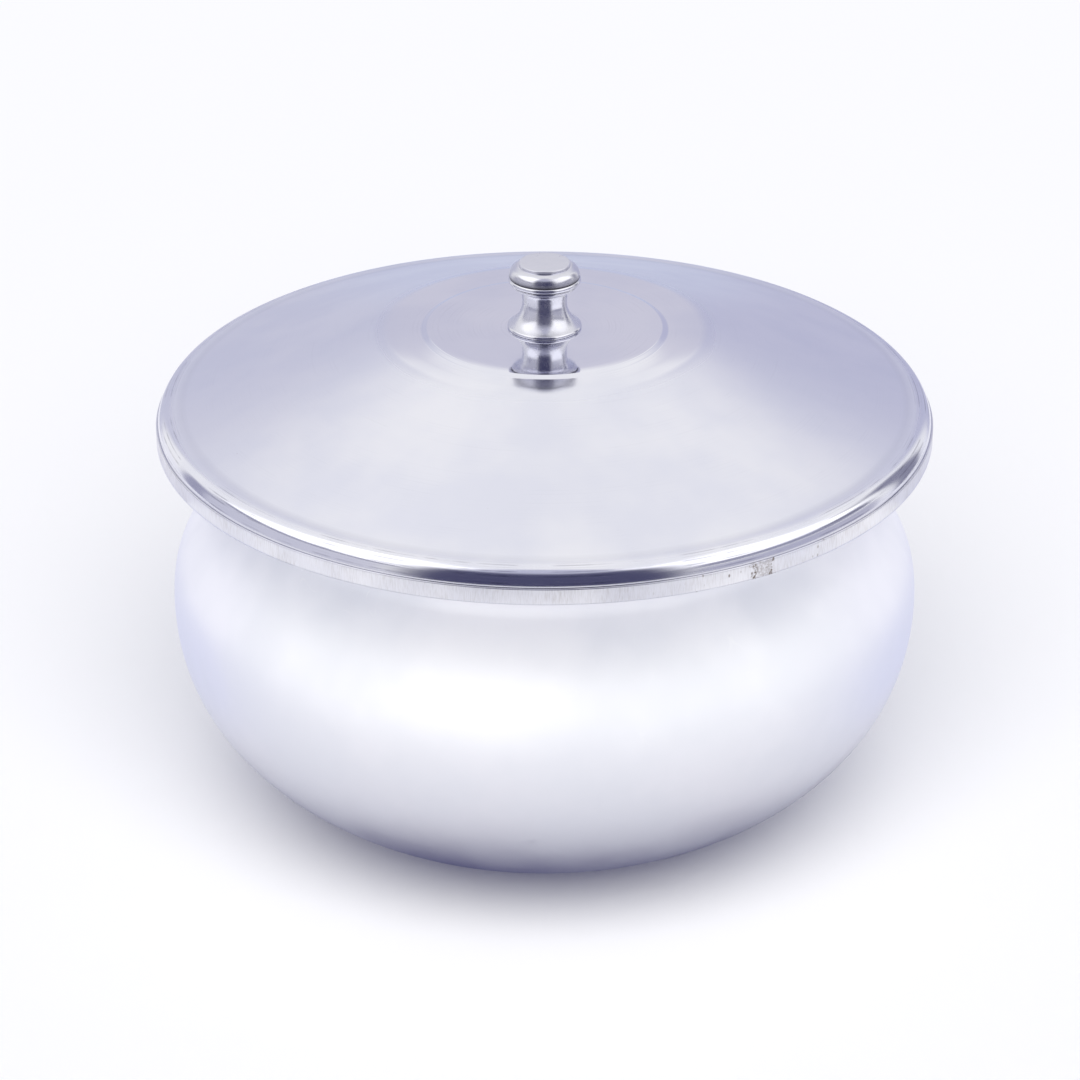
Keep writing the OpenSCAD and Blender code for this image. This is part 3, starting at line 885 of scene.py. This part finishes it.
def round_sheet(name, azimuths, inner, outer, clear, material):
    """Part of a cone: the line between two points (radius, height), turned round Z between two azimuths."""
    t = np.linspace(0, 1, CARD_ROWS)[:, None]
    a = np.radians(np.linspace(*azimuths, SHEET_COLUMNS))
    radius, height = (start + t * (end - start) for start, end in zip(inner, outer))
    points = np.stack([radius * np.sin(a), -radius * np.cos(a), height + 0 * a], axis=-1)
    return stage_sheet(name, points, clear(radius + 0 * a), material)


def shadow_sheet_clear(radius):
    """How clear the painted shadow is at a radius: its solid part ends near the base, and its film far out.
    """
    return (1 - SHADOW_SHEET_FILM) * smooth(radius, *SHADOW_SHEET_DARK) + SHADOW_SHEET_FILM * smooth(radius, *SHADOW_SHEET_THIN)


def paper(name, tone):
    """Matt white paper."""
    material, tree = new_material(name)
    matt = add(tree, "BsdfDiffuse", {"Color": tone})
    add(tree, "OutputMaterial", {"Surface": matt})
    return material


def lit_card(name, tone, strength):
    """A card of an even tone, as if lit on its own, and see-through where it is clear."""
    material, tree = new_material(name)
    clear = add(tree, "Attribute", attribute_name="clear").outputs["Fac"]
    glow = add(tree, "Emission", {"Color": tone, "Strength": strength})
    open_air = add(tree, "BsdfTransparent")
    card = add(tree, "MixShader", {0: clear, 1: glow, 2: open_air})
    add(tree, "OutputMaterial", {"Surface": card})
    material.cycles.emission_sampling = "NONE"
    return material


def reflected_only(card):
    """Keeps a card out of the picture and out of the light, so that only polished metal shows it."""
    card.visible_camera = False
    card.visible_diffuse = False
    card.visible_shadow = False


def white_room(fill):
    """World that is white to the camera and in reflections, and a softer, cooler light on matt surfaces."""
    world = bpy.data.worlds.new("white_room")
    world.use_nodes = True
    tree = world.node_tree
    tree.nodes.clear()
    rays = add(tree, "LightPath").outputs
    seen = add(tree, "Math", {0: rays["Is Camera Ray"], 1: rays["Is Glossy Ray"]}, operation="MAXIMUM")
    seen = add(tree, "Math", {0: seen, 1: rays["Is Transmission Ray"]}, operation="MAXIMUM")
    tint = layered(tree, fill, [(seen, linear("#FFFFFF"))])
    add(tree, "OutputWorld", {"Surface": add(tree, "Background", {"Color": tint})})
    bpy.context.scene.world = world


def key_lamp(stage):
    """Large soft lamp above the camera, which lights matt surfaces only and gives white paper its level."""
    light = bpy.data.lights.new("key_lamp", "SUN")
    light.color = tuple(stage.key)[:3]
    light.energy = stage.key_level * math.pi / math.sin(stage.key_elevation)
    light.angle = stage.key_spread
    lamp = bpy.data.objects.new("key_lamp", light)
    lamp.rotation_euler = (math.pi / 2 - stage.key_elevation, 0, 0)
    lamp.visible_glossy = False
    bpy.context.scene.collection.objects.link(lamp)


def photo_camera(stage, target):
    """Camera that shows the lid's axis at the rim's lower edge where the photograph has it."""
    data = bpy.data.cameras.new("photo_camera")
    data.sensor_width = SENSOR
    data.lens = SENSOR * FOCAL_PIXELS / PHOTO_WIDTH
    camera = bpy.data.objects.new("photo_camera", data)
    bpy.context.scene.collection.objects.link(camera)
    aside = (PHOTO_WIDTH / 2 - RIM_PIXEL[0]) / FOCAL_PIXELS * stage.distance
    back = stage.distance * np.array([0, -math.cos(stage.elevation), math.sin(stage.elevation)])
    camera.location = np.asarray(target) + back + [aside, 0, 0]
    dip = stage.elevation + math.atan((PHOTO_WIDTH / 2 - RIM_PIXEL[1]) / FOCAL_PIXELS)
    camera.rotation_euler = (math.pi / 2 - dip, 0, 0)
    bpy.context.scene.camera = camera


# Operators


class SERVINGPOT_OT_bowl(bpy.types.Operator):
    """Make the spun bowl"""

    bl_idname = "servingpot.bowl"
    bl_label = "Make bowl"

    def execute(self, context):
        size = context.scene.serving_pot.bowl
        piece = turned_piece("spun_bowl", bowl_stretches(size), False, spun_stainless(size))
        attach(piece, "pot")
        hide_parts("bowl")
        return {"FINISHED"}


class SERVINGPOT_OT_lid(bpy.types.Operator):
    """Make the pressed lid"""

    bl_idname = "servingpot.lid"
    bl_label = "Make lid"

    def execute(self, context):
        size = context.scene.serving_pot.lid
        piece = turned_piece("pressed_lid", lid_stretches(size), True, pressed_stainless(size))
        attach(piece, "lid")
        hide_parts("lid_shell")
        return {"FINISHED"}


class SERVINGPOT_OT_knob(bpy.types.Operator):
    """Make the turned knob"""

    bl_idname = "servingpot.knob"
    bl_label = "Make knob"

    def execute(self, context):
        size = context.scene.serving_pot.knob
        piece = turned_piece("turned_knob", knob_stretches(size), False, turned_steel(size))
        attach(piece, "lid")
        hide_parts("knob")
        return {"FINISHED"}


class SERVINGPOT_OT_fastening(bpy.types.Operator):
    """Plate the knob's screw and washers"""

    bl_idname = "servingpot.fastening"
    bl_label = "Plate fastening"

    def execute(self, context):
        plate = zinc_plate(context.scene.serving_pot.knob)
        for name in ("knob_screw", "flat_washer", "lock_washer"):
            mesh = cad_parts[name].data
            mesh.materials.clear()
            mesh.materials.append(plate)
        return {"FINISHED"}


class SERVINGPOT_OT_stage(bpy.types.Operator):
    """Set up the floor, the light and the camera"""

    bl_idname = "servingpot.stage"
    bl_label = "Set stage"

    def execute(self, context):
        stage = context.scene.serving_pot.stage
        lid = context.scene.serving_pot.lid
        photo_camera(stage, [0, 0, LID_LOW.z + lid.skirt_h])
        white_room(tuple(stage.fill))
        key_lamp(stage)
        reach = np.linspace(-FLOOR_REACH, FLOOR_REACH, 2)
        across, along = np.meshgrid(reach, reach)
        level = np.full((2, 2), CAD_BOX[0][2] - FLOOR_GAP)
        floor = np.stack([across, along, level], axis=-1)
        stage_sheet("floor", floor, np.zeros((2, 2)), paper("white_paper", tuple(stage.floor)))
        for name, (azimuths, elevations, soft, distance, tone, strength) in CARDS.items():
            card = lit_card(name, linear(tone), strength)
            reflected_only(dome_card(name, [0, 0, LID_HIGH.z], azimuths, elevations, soft, distance, card))
        for name, (azimuths, tone, strength) in TENT_SIDES.items():
            white = lit_card(name, linear(tone), strength)
            reflected_only(round_sheet(name, azimuths, TENT_TOP, TENT_FOOT, np.zeros_like, white))
        inner, outer = ((radius, FLOOR_GAP) for radius in SIDE_SHEET_RADII)
        pale = lit_card("side_sheet", linear(SIDE_SHEET_TONE), 1.0)
        reflected_only(round_sheet("side_sheet", SIDE_SHEET, inner, outer, np.zeros_like, pale))
        # Painted shadow round the base, a dark sheet that only polished metal shows
        inner, outer = ((radius, FLOOR_GAP / 2) for radius in SHADOW_SHEET_RADII)
        shadow_paint = lit_card("painted_floor_shadow", linear(SHADOW_SHEET_TONE), 1.0)
        reflected_only(round_sheet("painted_floor_shadow", (0, 360), inner, outer, shadow_sheet_clear, shadow_paint))
        context.scene.view_settings.view_transform = "Standard"
        return {"FINISHED"}


class SERVINGPOT_PT_panel(bpy.types.Panel):
    """Lists the pot's settings and the steps that make it"""

    bl_idname = "SERVINGPOT_PT_panel"
    bl_label = "Serving Pot"
    bl_space_type = "VIEW_3D"
    bl_region_type = "UI"
    bl_category = "Serving Pot"

    def draw(self, context):
        settings = context.scene.serving_pot
        for operator, group in STEPS:
            box = self.layout.box()
            box.operator(operator.bl_idname)
            values = getattr(settings, group)
            for name in type(values).__annotations__:
                box.prop(values, name)


STEPS = (
    (SERVINGPOT_OT_bowl, "bowl"),
    (SERVINGPOT_OT_lid, "lid"),
    (SERVINGPOT_OT_knob, "knob"),
    (SERVINGPOT_OT_fastening, "knob"),
    (SERVINGPOT_OT_stage, "stage"),
)
CLASSES = (
    BowlSettings,
    LidSettings,
    KnobSettings,
    StageSettings,
    PotSettings,
    *(operator for operator, _ in STEPS),
    SERVINGPOT_PT_panel,
)


def register():
    """Registers the classes and the scene's settings."""
    for each in CLASSES:
        bpy.utils.register_class(each)
    bpy.types.Scene.serving_pot = bpy.props.PointerProperty(
        type=PotSettings, name="Serving pot", description="Settings of the serving pot"
    )


def unregister():
    """Removes the scene's settings and the classes."""
    del bpy.types.Scene.serving_pot
    for each in reversed(CLASSES):
        bpy.utils.unregister_class(each)


def main():
    """Makes the pot and its stage."""
    register()
    bpy.ops.servingpot.bowl()
    bpy.ops.servingpot.lid()
    bpy.ops.servingpot.knob()
    bpy.ops.servingpot.fastening()
    bpy.ops.servingpot.stage()


if __name__ == "__main__":
    main()
